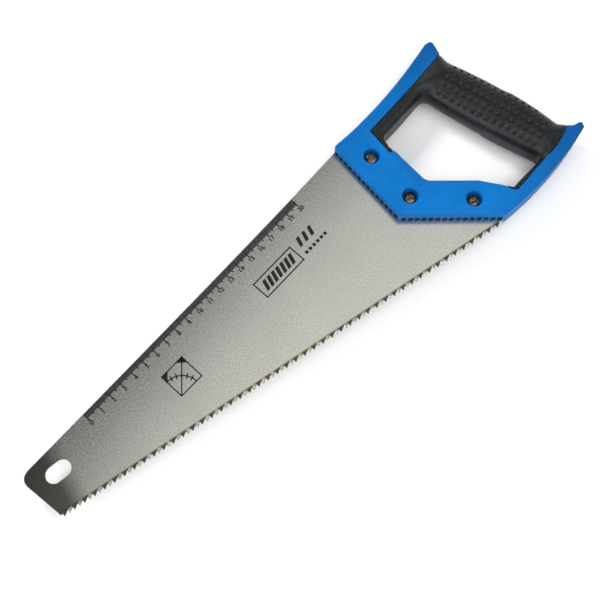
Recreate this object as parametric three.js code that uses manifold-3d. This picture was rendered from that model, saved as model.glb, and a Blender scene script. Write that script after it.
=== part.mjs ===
// Hand saw: a toothed steel blade held by three screws and barrel nuts in a moulded handle, whose hand grip
// is covered with soft rubber. Millimetres, +Z up. The saw lies flat: teeth towards -Y, handle towards +X.
import * as THREE from "three";
import { mergeVertices } from "three/addons/utils/BufferGeometryUtils.js";
import Module from "manifold-3d";

const wasm = await Module();
wasm.setup();

// ---- Driving dimensions -------------------------------------------------------------------------------
const FIT_GAP = 0.3; // left between two pieces that touch

// Blade. The toothed edge runs along the X axis, from the toe at x = 0 to the heel.
const BLADE_THICKNESS = 0.9;
const TEETH_PER_INCH = 7;
const TOOTH_COUNT = 96;
const TOOTH_DEPTH = 3.2;
const GULLET_Y = 2.7; // the bottoms of the gullets, over the X axis
const FIRST_GULLET = 1.2; // from the toe
const TOOTH_RAKE = 12; // degrees that the cutting face leans back from square
const TOE_HEIGHT = 35.5; // X axis to back, at the toe
const TOE_LEAN = 17.8; // degrees that the toe end leans outwards
const TOE_CORNER_RADIUS = 8.5;
const BACK_SAG = 1.6; // how far the back edge's bend lies under a straight line
const HANG_SLOT = { x: 11.6, y: 25.9, width: 11.5, length: 17.8, turn: 4.6 };

// Handle. Its outline is drawn from the heel end of the tooth line.
const CHEEK_THICKNESS = 20;
const CHEEK_BEVEL = 1.2;
const GRIP_THICKNESS = 28;
const GRIP_EDGE = 6; // height of the upright strip between the grip's rounded sides
const GRIP_SIDE = 12; // width of each rounded side
const SOFT_WALL = 2.7; // rubber over the core
const CORE_ROUNDING = 6;
const SLOT_LAP = 0.9; // how far the back of the blade lies below the handle's upper corner

// Clamping ribs stand between small pockets along the mouth of the blade slot.
const RIB_PITCH = 4.7;
const RIB_WIDTH = 1.4;
const POCKET_DEPTH = 2;
const POCKET_RISE = 3; // pocket height over each face of the blade

// Screws and barrel nuts
const HEAD_DIAMETER = 8.9;
const HEAD_HEIGHT = 2.6;
const RECESS_DIAMETER = 11.4;
const RECESS_DEPTH = 5.8;
const SHANK_DIAMETER = 3.8;
const BARREL_DIAMETER = 6.4;
const NUT_HEAD_HEIGHT = 2.2;
const DRIVE = { length: 5, width: 1.1, depth: 1.3 };

// ---- Derived sizes ------------------------------------------------------------------------------------
const TOOTH_PITCH = 25.4 / TEETH_PER_INCH;
const HEEL_X = TOOTH_COUNT * TOOTH_PITCH;
const CHEEK_HALF = CHEEK_THICKNESS / 2;
const GRIP_HALF = GRIP_THICKNESS / 2;
const GRIP_ROUNDING = GRIP_HALF - GRIP_EDGE / 2;
const SEAT = CHEEK_HALF - RECESS_DEPTH; // height of the screw seats over the blade's middle plane
const REACH = 200; // taller than the whole saw, for cutting tools
const SLOT_LEAD = 20; // how far the slot's cutting tool stands out in front of the handle
const ARC_STEPS = 6;
const MITRE_LIMIT = 2; // an offset's corners reach at most this many times its distance

const point = (x, y) => new THREE.Vector2(x, y);
const fromHeel = (x, y) => point(HEEL_X + x, y);
const radians = THREE.MathUtils.degToRad;

// ---- Solids -------------------------------------------------------------------------------------------
function solid(geometry) {
  geometry.deleteAttribute("normal");
  geometry.deleteAttribute("uv");
  const merged = mergeVertices(geometry, 1e-4);
  const vertProperties = new Float32Array(merged.attributes.position.array);
  const triVerts = new Uint32Array(merged.index.array);
  const mesh = new wasm.Mesh({ numProp: 3, vertProperties, triVerts });
  mesh.merge();
  return new wasm.Manifold(mesh);
}

function meshOf(body, name, material) {
  const { vertProperties, triVerts } = body.getMesh();
  const geometry = new THREE.BufferGeometry();
  geometry.setAttribute("position", new THREE.BufferAttribute(vertProperties, 3));
  geometry.setIndex(new THREE.BufferAttribute(triVerts, 1));
  geometry.computeVertexNormals();
  const mesh = new THREE.Mesh(geometry, material);
  mesh.name = name;
  return mesh;
}

// A plate of the given half thickness about z = 0, its rim rounded inwards by `side` over a height of `rise`.
function plate(shape, half, rise = 0, side = rise, segments = 3) {
  const geometry = new THREE.ExtrudeGeometry(shape, {
    depth: 2 * (half - rise),
    bevelEnabled: rise > 0,
    bevelThickness: rise,
    bevelSize: side,
    bevelOffset: -side,
    bevelSegments: segments,
    curveSegments: ARC_STEPS,
    steps: 1,
  });
  geometry.translate(0, 0, rise - half);
  return solid(geometry);
}

// A turned piece about the Z axis through (x, y). The profile is a list of [radius, z].
function turned(profile, x, y, segments = 40) {
  const geometry = new THREE.LatheGeometry(profile.map(([r, z]) => point(r, z)), segments);
  geometry.rotateX(Math.PI / 2);
  geometry.translate(x, y, 0);
  return solid(geometry);
}

function rod(diameter, low, high, x, y) {
  const geometry = new THREE.CylinderGeometry(diameter / 2, diameter / 2, high - low, 40);
  geometry.rotateX(Math.PI / 2);
  geometry.translate(x, y, (low + high) / 2);
  return solid(geometry);
}

function block(x, y, z, centre, turn) {
  const geometry = new THREE.BoxGeometry(x, y, z);
  geometry.rotateZ(turn);
  geometry.translate(centre.x, centre.y, centre.z ?? 0);
  return solid(geometry);
}

// A closed outline through `corners`, each [Vector2, radius]; a radius of 0 keeps the corner sharp, and a
// third item is the control point of a curve that leads to the next corner.
function outline(corners) {
  const path = new THREE.Path();
  const count = corners.length;
  const toward = (from, to, distance) => from.clone().add(to.clone().sub(from).setLength(distance));
  const trimmed = corners.map(([corner, radius, control], i) => {
    const [before, , bend] = corners[(i + count - 1) % count];
    const arrive = bend ?? before;
    const leave = control ?? corners[(i + 1) % count][0];
    const into = corner.clone().sub(arrive).normalize();
    const out = leave.clone().sub(corner).normalize();
    const half = Math.acos(THREE.MathUtils.clamp(into.dot(out), -1, 1)) / 2;
    const cut = radius * Math.tan(half);
    return { corner, control, start: toward(corner, arrive, cut), end: toward(corner, leave, cut) };
  });
  path.moveTo(trimmed[0].end.x, trimmed[0].end.y);
  for (let i = 1; i <= count; i++) {
    const previous = trimmed[i - 1];
    const { corner, start, end } = trimmed[i % count];
    if (previous.control) path.quadraticCurveTo(previous.control.x, previous.control.y, start.x, start.y);
    else path.lineTo(start.x, start.y);
    if (start.distanceTo(end) > 1e-6) path.quadraticCurveTo(corner.x, corner.y, end.x, end.y);
  }
  const points = path.getPoints(ARC_STEPS);
  return points.filter((p, i) => p.distanceTo(points[(i + 1) % points.length]) > 1e-3);
}

// The anticlockwise outline grown by `distance`, or shrunk where that is negative
function offset(points, distance) {
  const section = new wasm.CrossSection([points.map(({ x, y }) => [x, y])]);
  const rings = section.offset(distance, "Miter", MITRE_LIMIT).toPolygons();
  const longest = rings.reduce((best, ring) => (ring.length > best.length ? ring : best));
  return longest.map(([x, y]) => point(x, y));
}

// ---- Blade --------------------------------------------------------------------------------------------
// Handle corners that the blade is fitted to
const heelCorner = fromHeel(1.6, 2);
const frontCorner = fromHeel(-58.5, 42.5);
const upperCorner = fromHeel(-65.8, 109.9);

const screwPlaces = {
  upper: fromHeel(-48.7, 89),
  middle: fromHeel(-44.5, 49.8),
  lower: fromHeel(-9.9, 23.3),
};

// The end of the blade inside the handle, from the heel round to the back
const hiddenEnd = [
  fromHeel(3, 4.4),
  fromHeel(7.5, 8),
  fromHeel(4, 20),
  fromHeel(-5, 31),
  fromHeel(-18, 37.5),
  fromHeel(-35.5, 47),
  fromHeel(-40.5, 62),
  fromHeel(-43, 84),
  fromHeel(-43.5, 97),
  fromHeel(-55, 104.5),
];

function bladeShape() {
  const lean = Math.tan(radians(TOE_LEAN));
  const toeFoot = point(0, 0).lerp(point(-lean * TOE_HEIGHT, TOE_HEIGHT), 0.04);
  const toe = point(-lean * TOE_HEIGHT, TOE_HEIGHT);
  const backEnd = point(upperCorner.x, upperCorner.y - SLOT_LAP);
  const backBend = point(0.76 * backEnd.x, THREE.MathUtils.lerp(toe.y, backEnd.y, 0.76) - BACK_SAG);
  const alongToe = toe.clone().add(toeFoot.clone().sub(toe).setLength(TOE_CORNER_RADIUS));
  const alongBack = toe.clone().add(backBend.clone().sub(toe).setLength(TOE_CORNER_RADIUS));

  const shape = new THREE.Shape();
  shape.moveTo(toeFoot.x, toeFoot.y);
  shape.lineTo(FIRST_GULLET, GULLET_Y);
  const rake = TOOTH_DEPTH * Math.tan(radians(TOOTH_RAKE));
  for (let i = 0; i < TOOTH_COUNT; i++) {
    shape.lineTo(FIRST_GULLET + i * TOOTH_PITCH + rake, GULLET_Y - TOOTH_DEPTH);
    shape.lineTo(FIRST_GULLET + (i + 1) * TOOTH_PITCH, GULLET_Y);
  }
  for (const p of hiddenEnd) shape.lineTo(p.x, p.y);
  shape.lineTo(backEnd.x, backEnd.y);
  shape.quadraticCurveTo(backBend.x, backBend.y, alongBack.x, alongBack.y);
  shape.quadraticCurveTo(toe.x, toe.y, alongToe.x, alongToe.y);
  shape.closePath();

  const slot = new THREE.Path();
  const turn = radians(HANG_SLOT.turn);
  const radius = HANG_SLOT.width / 2;
  const reach = HANG_SLOT.length / 2 - radius;
  const dx = reach * Math.cos(turn);
  const dy = reach * Math.sin(turn);
  slot.absarc(HANG_SLOT.x + dx, HANG_SLOT.y + dy, radius, turn - Math.PI / 2, turn + Math.PI / 2);
  slot.absarc(HANG_SLOT.x - dx, HANG_SLOT.y - dy, radius, turn + Math.PI / 2, turn + 1.5 * Math.PI);
  shape.holes.push(slot);
  return shape;
}

function blade() {
  let body = plate(bladeShape(), BLADE_THICKNESS / 2);
  for (const { x, y } of Object.values(screwPlaces)) {
    body = body.subtract(rod(BARREL_DIAMETER + 2 * FIT_GAP, -REACH, REACH, x, y));
  }
  return body;
}

// ---- Handle outlines ----------------------------------------------------------------------------------
// The whole handle, seen from above, anticlockwise from the heel
const handleOutline = outline([
  [heelCorner, 0, fromHeel(46.5, 5.8)],
  [fromHeel(86.9, 23.2), 1.5],
  [fromHeel(88.8, 28.2), 2.5],
  [fromHeel(82, 28.8), 4],
  [fromHeel(74.6, 37), 6, fromHeel(66.5, 74)],
  [fromHeel(42, 120), 6],
  [fromHeel(39.4, 129), 5],
  [fromHeel(40.4, 139.2), 3],
  [fromHeel(34.2, 139.2), 3, fromHeel(-17.5, 116.2)],
  [upperCorner, 2],
  [frontCorner, 0],
]);

// The hand opening, anticlockwise from its lowest corner
const openingOutline = outline([
  [fromHeel(18, 15.2), 1.5],
  [fromHeel(49.2, 22.4), 4, fromHeel(26.2, 66)],
  [fromHeel(11.4, 108.6), 7],
  [fromHeel(-34.4, 96.6), 6],
  [fromHeel(-27.4, 53.6), 9],
  [fromHeel(0.8, 33), 3],
]);

// The part of the handle that the rubber covers. It is drawn past the handle's edge and into the opening.
const softOutline = outline([
  [fromHeel(-38.4, 105), 0.5],
  [fromHeel(-36.8, 84), 0.5],
  [fromHeel(-20, 84), 0],
  [fromHeel(-10, 60), 0],
  [fromHeel(14, 20), 0],
  [fromHeel(15.5, 15.2), 0],
  [fromHeel(18.9, 12.2), 0],
  [fromHeel(49, 20), 4],
  [fromHeel(64, 22.8), 12],
  [fromHeel(76.6, 34), 4],
  [fromHeel(100, 40), 0],
  [fromHeel(70, 150), 0],
  [fromHeel(46, 140), 0],
  [fromHeel(38.6, 126.6), 4, fromHeel(18, 119.4)],
]);

// The grip, seen from above, run out at both ends over the blue horns
const gripOutline = outline([
  [fromHeel(83, 13), 0, fromHeel(68.3, 77)],
  [fromHeel(34.4, 136), 0],
  [fromHeel(4, 126), 0, fromHeel(29.5, 61)],
  [fromHeel(52, 9), 0],
]);

// The run of the grip between its two ends, where the barrel alone makes the surface
const gripRun = [fromHeel(30, 25), fromHeel(90, 51), fromHeel(60, 120), fromHeel(0, 94)];

const shapeOf = (points) => new THREE.Shape(points);

// ---- Handle -------------------------------------------------------------------------------------------
function prism(points) {
  return plate(shapeOf(points), REACH);
}

function gripBody() {
  return plate(shapeOf(gripOutline), GRIP_HALF, GRIP_ROUNDING, GRIP_SIDE, 6);
}

function cheeks() {
  return plate(shapeOf(handleOutline), CHEEK_HALF, CHEEK_BEVEL).subtract(prism(openingOutline));
}

// The core that the rubber is moulded on, `grow` larger all round: a thinner arm, and a bar through the grip
function core(grow) {
  const wall = SOFT_WALL - grow;
  const arm = plate(shapeOf(offset(handleOutline, -wall)), CHEEK_HALF - wall)
    .subtract(prism(grow > 0 ? offset(gripRun, -grow) : gripRun));
  const bar = plate(shapeOf(offset(gripOutline, -wall)), GRIP_HALF - wall, CORE_ROUNDING)
    .intersect(prism(offset(handleOutline, -wall)));
  return arm.add(bar).subtract(prism(offset(openingOutline, wall)));
}

// Pockets along the two front edges of the handle, where the blade enters
function slotPockets() {
  const pockets = [];
  for (const [from, to] of [[heelCorner, frontCorner], [frontCorner, upperCorner]]) {
    const run = to.clone().sub(from);
    const count = Math.floor((run.length() - RIB_WIDTH) / RIB_PITCH);
    const margin = (run.length() - count * RIB_PITCH) / 2;
    const turn = run.angle();
    for (let i = 0; i < count; i++) {
      const centre = from.clone().add(run.clone().setLength(margin + (i + 0.5) * RIB_PITCH));
      const height = BLADE_THICKNESS + 2 * POCKET_RISE;
      pockets.push(block(RIB_PITCH - RIB_WIDTH, 2 * POCKET_DEPTH, height, centre, turn));
    }
  }
  return pockets;
}

// The slot takes the hidden end of the blade and is open along both front edges.
function bladeSlot() {
  const entry = point(upperCorner.x, upperCorner.y - SLOT_LAP);
  const front = [
    point(upperCorner.x - SLOT_LEAD, entry.y),
    point(frontCorner.x - SLOT_LEAD, frontCorner.y - SLOT_LEAD),
    point(heelCorner.x, heelCorner.y - SLOT_LEAD),
    point(heelCorner.x, heelCorner.y - FIT_GAP),
  ];
  const profile = offset([...front, ...hiddenEnd, entry], FIT_GAP);
  return plate(shapeOf(profile), BLADE_THICKNESS / 2 + FIT_GAP);
}

function screwHoles() {
  return Object.values(screwPlaces).flatMap(({ x, y }) => [
    rod(BARREL_DIAMETER + 2 * FIT_GAP, -REACH, REACH, x, y),
    rod(RECESS_DIAMETER, SEAT, REACH, x, y),
    rod(RECESS_DIAMETER, -REACH, -SEAT, x, y),
  ]);
}

function handleFrame() {
  const horns = gripBody().intersect(prism(handleOutline)).subtract(prism(openingOutline));
  const cuts = [bladeSlot(), ...slotPockets(), ...screwHoles()];
  const body = cheeks().add(horns).subtract(prism(offset(softOutline, FIT_GAP / 2))).add(core(0));
  return cuts.reduce((rest, cut) => rest.subtract(cut), body);
}

function softGrip() {
  return cheeks().subtract(prism(gripRun)).add(gripBody())
    .subtract(prism(openingOutline))
    .intersect(prism(offset(softOutline, -FIT_GAP / 2)))
    .subtract(core(FIT_GAP));
}

// ---- Screws and nuts ----------------------------------------------------------------------------------
// A pan head with a cross recess, on a plain shank that runs into the nut's barrel
function screw({ x, y }) {
  const low = SEAT + FIT_GAP;
  const head = HEAD_DIAMETER / 2;
  const shank = SHANK_DIAMETER / 2;
  const profile = [
    [0, FIT_GAP - SEAT + 1],
    [shank, FIT_GAP - SEAT + 1],
    [shank, low],
    [head, low],
    [head, low + 0.45 * HEAD_HEIGHT],
    [0.86 * head, low + 0.8 * HEAD_HEIGHT],
    [0.6 * head, low + HEAD_HEIGHT],
    [0, low + HEAD_HEIGHT],
  ];
  const centre = { x, y, z: low + HEAD_HEIGHT };
  return turned(profile, x, y)
    .subtract(block(DRIVE.length, DRIVE.width, 2 * DRIVE.depth, centre, radians(20)))
    .subtract(block(DRIVE.width, DRIVE.length, 2 * DRIVE.depth, centre, radians(20)));
}

// A sleeve nut from the back: a slotted head, and a barrel through the handle and the blade
function nut({ x, y }) {
  const low = -SEAT - FIT_GAP;
  const head = HEAD_DIAMETER / 2;
  const barrel = BARREL_DIAMETER / 2;
  const bore = SHANK_DIAMETER / 2 + FIT_GAP;
  const profile = [
    [0, low - NUT_HEAD_HEIGHT],
    [0.7 * head, low - NUT_HEAD_HEIGHT],
    [head, low - 0.5 * NUT_HEAD_HEIGHT],
    [head, low],
    [barrel, low],
    [barrel, SEAT],
    [bore, SEAT],
    [bore, 1 - SEAT],
    [0, 1 - SEAT],
  ];
  const centre = { x, y, z: low - NUT_HEAD_HEIGHT };
  return turned(profile, x, y)
    .subtract(block(HEAD_DIAMETER + 1, DRIVE.width, 2 * DRIVE.depth, centre, radians(65)));
}

// ---- Assembly -----------------------------------------------------------------------------------------
const steel = () => new THREE.MeshStandardMaterial({ color: 0xa9a7a0, roughness: 0.42, metalness: 0.9 });
const bluePlastic = () => new THREE.MeshStandardMaterial({ color: 0x0078d2, roughness: 0.4, metalness: 0 });
const rubber = () => new THREE.MeshStandardMaterial({ color: 0x22252a, roughness: 0.65, metalness: 0 });
const bronzedSteel = () => new THREE.MeshStandardMaterial({ color: 0x5d4a3a, roughness: 0.4, metalness: 0.9 });

const saw = new THREE.Group();
saw.add(meshOf(blade(), "blade", steel()));
saw.add(meshOf(handleFrame(), "handle_frame", bluePlastic()));
saw.add(meshOf(softGrip(), "soft_grip", rubber()));
for (const [place, at] of Object.entries(screwPlaces)) {
  saw.add(meshOf(screw(at), `screw_${place}`, bronzedSteel()));
  saw.add(meshOf(nut(at), `nut_${place}`, bronzedSteel()));
}

// The origin is under the middle of the saw's box, on the surface it lies on.
const box = new THREE.Box3().setFromObject(saw);
const centre = box.getCenter(new THREE.Vector3());
saw.position.set(-centre.x, -centre.y, -box.min.z);

const part = new THREE.Group();
part.add(saw);
export default part;
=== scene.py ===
"""A hand saw lying flat: a toothed steel blade in a two-colour moulded handle, held by screws and nuts."""
import math

import bpy
import numpy as np
from mathutils import Matrix, Vector
from mathutils.geometry import delaunay_2d_cdt


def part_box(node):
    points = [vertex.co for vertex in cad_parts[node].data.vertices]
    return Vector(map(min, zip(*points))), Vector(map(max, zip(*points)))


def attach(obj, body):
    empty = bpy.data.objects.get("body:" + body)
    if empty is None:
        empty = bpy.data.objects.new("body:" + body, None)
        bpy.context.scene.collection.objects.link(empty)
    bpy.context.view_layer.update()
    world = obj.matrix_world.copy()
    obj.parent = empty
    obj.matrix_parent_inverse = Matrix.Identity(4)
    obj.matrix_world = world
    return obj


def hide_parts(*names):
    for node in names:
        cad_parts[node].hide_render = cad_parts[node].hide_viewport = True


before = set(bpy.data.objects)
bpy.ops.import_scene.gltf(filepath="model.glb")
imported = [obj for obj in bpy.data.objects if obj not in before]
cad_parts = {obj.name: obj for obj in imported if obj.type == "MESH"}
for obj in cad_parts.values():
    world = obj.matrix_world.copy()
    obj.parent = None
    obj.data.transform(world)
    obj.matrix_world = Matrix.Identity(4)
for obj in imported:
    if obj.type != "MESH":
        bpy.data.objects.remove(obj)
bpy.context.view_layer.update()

# ---- Camera ---------------------------------------------------------------------------------------------
# Every size below is in millimetres from the heel, the handle end of the tooth line, in the blade's middle
# plane. The camera is a 55 mm lens two thirds of a metre away, over the toe side and rolled so that the
# saw lies across the picture's diagonal.
BLADE_PAST_HEEL = 7.5
TIPS_BELOW_LINE = 0.5
blade_low, blade_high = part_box("blade")
HEEL = np.array([
    blade_high.x * 1000 - BLADE_PAST_HEEL,
    blade_low.y * 1000 + TIPS_BELOW_LINE,
    (blade_low.z + blade_high.z) / 2 * 1000,
])


def metres(points):
    """Points in millimetres from the heel, as metres in the row frame."""
    return (np.asarray(points, float) + HEEL) / 1000


CAMERA_PLACE = (-248.5, -118.0, 584.5)
CAMERA_RIGHT = (0.82517, -0.56488, -0.00268)
CAMERA_UP = (0.53991, 0.78728, 0.29779)
CAMERA_BACK = (-0.16610, -0.24718, 0.95463)

camera_data = bpy.data.cameras.new("camera")
LENS, SENSOR = 55, 36
camera_data.lens, camera_data.sensor_width = LENS, SENSOR
camera = bpy.data.objects.new("camera", camera_data)
turn = Matrix((CAMERA_RIGHT, CAMERA_UP, CAMERA_BACK)).transposed()
camera.matrix_world = Matrix.Translation(metres(CAMERA_PLACE)) @ turn.to_4x4()
bpy.context.scene.collection.objects.link(camera)
bpy.context.scene.camera = camera

# ---- Blade ----------------------------------------------------------------------------------------------
# A plate of cold-rolled carbon steel with a ground satin finish and punched, hard-tempered teeth. The teeth
# lean alternately to the two sides, and their gullets are ground at an angle that alternates too.
# The handle end is clamped in the handle's slot by the three screws.
BLADE_HALF = 0.45
TOOTH_COUNT = 96
TOOTH_PITCH = 25.4 / 7
HEEL_TO_TOE = TOOTH_COUNT * TOOTH_PITCH
FIRST_GULLET = 1.2
GULLET_Y = 2.7
TOOTH_DEPTH = 3.2
TOOTH_RAKE = math.radians(12)
GRIND_SHIFT = 0.62  # how far a gullet runs sideways from the middle plane to a face
TOOTH_SET = 0.28
TOE_HEIGHT = 35.5
TOE_LEAN = math.radians(17.8)
TOE_RADIUS = 8.5
BACK_SAG = 1.6
HANG_SLOT = {"x": 11.6, "y": 25.9, "width": 11.5, "length": 17.8, "turn": math.radians(4.6)}
SCREWS = {"upper": (-48.7, 89), "middle": (-44.5, 49.8), "lower": (-9.9, 23.3)}
BARREL_HOLE = 3.5  # radius of the holes for the nut barrels

HEEL_CORNER = (1.6, 2)
FRONT_CORNER = (-58.5, 42.5)
UPPER_CORNER = (-65.8, 109.9)
BACK_END = (UPPER_CORNER[0], UPPER_CORNER[1] - 0.9)
HIDDEN_END = [(3, 4.4), (7.5, 8), (4, 20), (-5, 31), (-18, 37.5), (-35.5, 47), (-40.5, 62), (-43, 84),
              (-43.5, 97), (-55, 104.5)]


def quadratic(start, control, end, count):
    """Points on the curve (1-t)² start + 2t(1-t) control + t² end, without its last."""
    t = np.linspace(0, 1, count, endpoint=False)[:, None]
    return (1 - t) ** 2 * np.array(start) + 2 * t * (1 - t) * np.array(control) + t ** 2 * np.array(end)


def circle(x, y, radius, count, first=0.0, sweep=2 * math.pi):
    """Points round a circle, or along an arc of it, evenly spaced in angle."""
    angle = first + np.linspace(0, sweep, count, endpoint=False)
    return np.stack([x + radius * np.cos(angle), y + radius * np.sin(angle)], 1)


def inside(points, loop):
    """Which points a closed loop encloses: those with an odd number of edges to their right."""
    ax, ay = loop[:, 0], loop[:, 1]
    bx, by = np.roll(ax, -1), np.roll(ay, -1)
    px, py = points[:, :1], points[:, 1:2]
    spans = (ay > py) != (by > py)
    run = np.where(by == ay, 1, by - ay)
    return np.sum(spans & (px < ax + (bx - ax) * (py - ay) / run), 1) % 2 == 1


def triangulate(loops, free, lines=()):
    """Triangles over loops (closed edges), lines (open edges) and free points: (points, triangles)."""
    groups = [np.asarray(g, float) for g in (*loops, *lines, free)]
    starts = np.cumsum([0] + [len(g) for g in groups])
    edges = []
    for group, (start, points) in enumerate(zip(starts, groups[:-1])):
        index = start + np.arange(len(points))
        following = np.roll(index, -1)
        pairs = np.stack([index, following], 1)
        edges.append(pairs if group < len(loops) else pairs[:-1])
    everything = np.concatenate(groups)
    made = delaunay_2d_cdt(everything.tolist(), np.concatenate(edges).tolist(), [], 0, 1e-5, False)
    return np.array([tuple(p) for p in made[0]]), np.array(made[2])


def plate_mesh(name, points, triangles, top, bottom, levels):
    """A closed piece from one triangulation: its top sheet, its bottom sheet, which is the same one turned
    over, and a wall of quads between their rims that passes through the levels, each an array of points."""
    used, triangles = np.unique(triangles, return_inverse=True)
    triangles = triangles.reshape(-1, 3)
    corner = points[used][triangles]
    ab, ac = corner[:, 1] - corner[:, 0], corner[:, 2] - corner[:, 0]
    clockwise = ab[:, 0] * ac[:, 1] - ab[:, 1] * ac[:, 0] < 0
    triangles[clockwise] = triangles[clockwise][:, ::-1]
    top, bottom = top[used], bottom[used]
    sides = np.concatenate([triangles[:, [0, 1]], triangles[:, [1, 2]], triangles[:, [2, 0]]])
    count = len(used)
    key = sides[:, 0] * count + sides[:, 1]
    back = sides[:, 1] * count + sides[:, 0]
    rim = sides[~np.isin(key, back)]
    on_rim = np.unique(rim)
    place = np.zeros(count, int)
    place[on_rim] = np.arange(len(on_rim))
    layers = [on_rim] + [2 * count + k * len(on_rim) + np.arange(len(on_rim)) for k in range(len(levels))]
    layers.append(on_rim + count)
    walls = []
    for upper, lower in zip(layers[:-1], layers[1:]):
        a, b = place[rim[:, 0]], place[rim[:, 1]]
        walls.append(np.stack([upper[b], upper[a], lower[a], lower[b]], 1))
    vertices = np.concatenate([top, bottom] + [level[used][on_rim] for level in levels])
    faces = triangles.tolist() + (triangles[:, ::-1] + count).tolist() + np.concatenate(walls).tolist()
    return piece(name, vertices, faces)


ROUND_EDGE = math.radians(38)  # edges that turn by more than this are shaded sharp


def piece(name, vertices, faces, sharp=ROUND_EDGE):
    """A new mesh object from points in millimetres from the heel, smooth except at edges over `sharp`."""
    mesh = bpy.data.meshes.new(name)
    mesh.from_pydata(metres(vertices), [], faces)
    mesh.shade_smooth()
    mesh.set_sharp_from_angle(angle=sharp)
    made = bpy.data.objects.new(name, mesh)
    bpy.context.scene.collection.objects.link(made)
    return made


# The tooth line runs along y = 0 from the toe at x = -HEEL_TO_TOE.
toe_top = np.array([-HEEL_TO_TOE - math.tan(TOE_LEAN) * TOE_HEIGHT, TOE_HEIGHT])
TOE_FOOT_SHARE = 0.04
toe_foot = np.array([-HEEL_TO_TOE, 0]) + TOE_FOOT_SHARE * (toe_top - [-HEEL_TO_TOE, 0])
BEND_SHARE = 0.76  # how far along the back edge it sags most
back_bend = np.array([
    -HEEL_TO_TOE + BEND_SHARE * (BACK_END[0] + HEEL_TO_TOE),
    TOE_HEIGHT + BEND_SHARE * (BACK_END[1] - TOE_HEIGHT) - BACK_SAG,
])
toe_side = toe_top + TOE_RADIUS * (toe_foot - toe_top) / np.linalg.norm(toe_foot - toe_top)
back_side = toe_top + TOE_RADIUS * (back_bend - toe_top) / np.linalg.norm(back_bend - toe_top)

gullet_x = -HEEL_TO_TOE + FIRST_GULLET + TOOTH_PITCH * np.arange(TOOTH_COUNT + 1)
lean_to = np.where(np.arange(TOOTH_COUNT + 1) % 2, 1.0, -1.0)


def tooth_line(face):
    """Gullets and tips in turn on one face, +1 or -1. Gullet k lies GRIND_SHIFT to one side, and k + 1 to
    the other, so a tooth's two flanks move apart or together and its tip is where they meet."""
    gullets = np.stack([gullet_x + face * lean_to * GRIND_SHIFT, np.full(TOOTH_COUNT + 1, GULLET_Y)], 1)
    share = np.diff(gullets[:, 0]) / (TOOTH_PITCH + 2 * GRIND_SHIFT)
    depth = TOOTH_DEPTH * share
    tips = np.stack([gullets[:-1, 0] + depth * math.tan(TOOTH_RAKE), GULLET_Y - depth], 1)
    line = np.empty((2 * TOOTH_COUNT + 1, 2))
    line[0::2], line[1::2] = gullets, tips
    return line


upper_teeth, lower_teeth = tooth_line(1), tooth_line(-1)
back_edge = quadratic(BACK_END, back_bend, back_side, 60)
rest_of_blade = np.concatenate([
    HIDDEN_END,
    back_edge,
    quadratic(back_side, toe_top, toe_side, 14),
    [toe_side, toe_foot],
])
slot_cos, slot_sin = math.cos(HANG_SLOT["turn"]), math.sin(HANG_SLOT["turn"])
slot_reach = (HANG_SLOT["length"] - HANG_SLOT["width"]) / 2
slot_x, slot_y = HANG_SLOT["x"] - HEEL_TO_TOE, HANG_SLOT["y"]
hang_slot = np.concatenate([
    circle(slot_x + side * slot_reach * slot_cos, slot_y + side * slot_reach * slot_sin,
           HANG_SLOT["width"] / 2, 28, HANG_SLOT["turn"] - side * math.pi / 2, math.pi)
    for side in (1, -1)
])
blade_outline = np.concatenate([upper_teeth, rest_of_blade])
barrel_holes = [circle(x, y, BARREL_HOLE, 32) for x, y in SCREWS.values()]
blade_points, blade_triangles = triangulate(
    [blade_outline, hang_slot, *barrel_holes], np.zeros((0, 2)), lines=[upper_teeth[0::2]])
middle = blade_points[blade_triangles].mean(1)
solid = inside(middle, blade_outline) & ~inside(middle, hang_slot)
for hole in barrel_holes:
    solid &= ~inside(middle, hole)

gap_to_teeth = np.linalg.norm(blade_points[:, None] - upper_teeth[None], axis=2)
nearest_tooth = gap_to_teeth.argmin(1)
SAME_POINT = 1e-4
on_teeth = gap_to_teeth.min(1) < SAME_POINT
under = blade_points.copy()
under[on_teeth] = lower_teeth[nearest_tooth[on_teeth]]
tip = on_teeth & (nearest_tooth % 2 == 1)
bend = np.zeros(len(blade_points))
bend[tip] = TOOTH_SET * np.where((nearest_tooth[tip] // 2) % 2, 1, -1)


def at_height(points, height):
    """Plane points raised to a height, one number or one for each point."""
    return np.column_stack([points, np.broadcast_to(height, len(points))])


blade = plate_mesh(
    "blade_plate", blade_points, blade_triangles[solid],
    at_height(blade_points, BLADE_HALF + bend), at_height(under, -BLADE_HALF + bend), [])

# The plate is flat right up to the gullets, where the leaning teeth begin.
FLAT_EDGE = math.radians(2)
blade.data.set_sharp_from_angle(angle=FLAT_EDGE)

# Every second tooth keeps its blue-black hardened skin on each face, and the sheared edges keep their
# scale; the ground flanks and the teeth between are bare and bright.
FACES_UP, FACES_SIDEWAYS = 0.6, 0.3  # how upright a normal is on a tooth's face, and at most on an edge
BARE_PLATE, OXIDE_SKIN, BARE_TOOTH = 0, 1, 2
face_count = len(blade.data.polygons)
face_middle = np.empty(face_count * 3)
blade.data.polygons.foreach_get("center", face_middle)
face_normal = np.empty(face_count * 3)
blade.data.polygons.foreach_get("normal", face_normal)
face_middle = face_middle.reshape(-1, 3) * 1000 - HEEL
upright = face_normal.reshape(-1, 3)[:, 2]
tooth_number = np.floor((face_middle[:, 0] - gullet_x[0]) / TOOTH_PITCH).astype(int)
in_teeth = (face_middle[:, 1] < GULLET_Y) & (tooth_number >= 0) & (tooth_number < TOOTH_COUNT)
skin_side = np.where(tooth_number % 2, -1, 1)
skinned = in_teeth & (upright * skin_side > FACES_UP)
bare = in_teeth & ~skinned
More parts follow.
